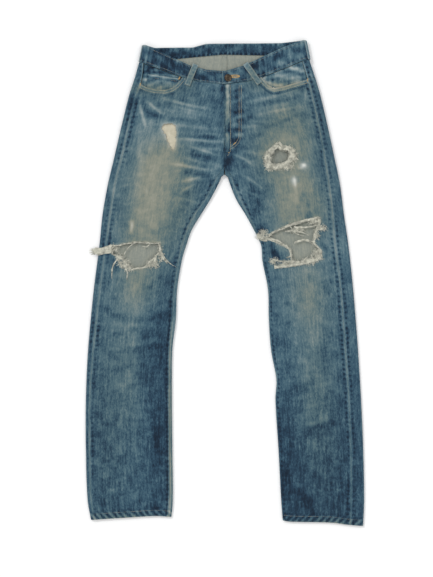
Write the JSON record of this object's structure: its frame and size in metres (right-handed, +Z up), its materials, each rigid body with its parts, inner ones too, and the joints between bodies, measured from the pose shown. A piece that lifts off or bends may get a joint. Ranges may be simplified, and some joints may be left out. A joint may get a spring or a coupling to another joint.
{
  "type": "ripped jeans",
  "caption": "Straight-leg blue denim jeans laid flat, front up, with faded thighs, torn knees with frayed yarns, and a lapped waistband with a button.",
  "frame": {"origin": "on the floor, in the middle of the jeans' box", "axes": "+X to the wearer's left, +Y from the hems to the waist, +Z up from the floor, out of the front of the jeans"},
  "size_m": [0.6344, 1.106, 0.0188],
  "materials": {
    "denim": "washed indigo denim, faded and creased",
    "denim_dark": "dark indigo denim, little worn",
    "denim_worn": "denim worn pale at its edges",
    "cotton": "matt cream cotton",
    "yarn": "loose off-white cotton yarn",
    "button_metal": "dark aged metal, dull"
  },
  "bodies": {
    "root": {"front_right": "denim", "front_left": "denim", "back_right": "denim", "back_left": "denim", "yoke_right": "denim", "yoke_left": "denim", "waistband": "denim_dark", "pocket_facing_right": "denim", "pocket_facing_left": "denim", "coin_pocket": "denim_worn", "pocket_bag_right": "cotton", "fly_edge": "denim_worn", "belt_loop_front_right": "denim_worn", "belt_loop_front_left": "denim_worn", "belt_loop_side_right": "denim_worn", "belt_loop_side_left": "denim_worn", "belt_loop_back": "denim_worn", "back_pocket_right": "denim", "back_pocket_left": "denim", "waist_button": "button_metal", "fray_knee_right": "yarn", "fray_thigh_left": "yarn", "fray_knee_left": "yarn"}
  },
  "joints": []
}
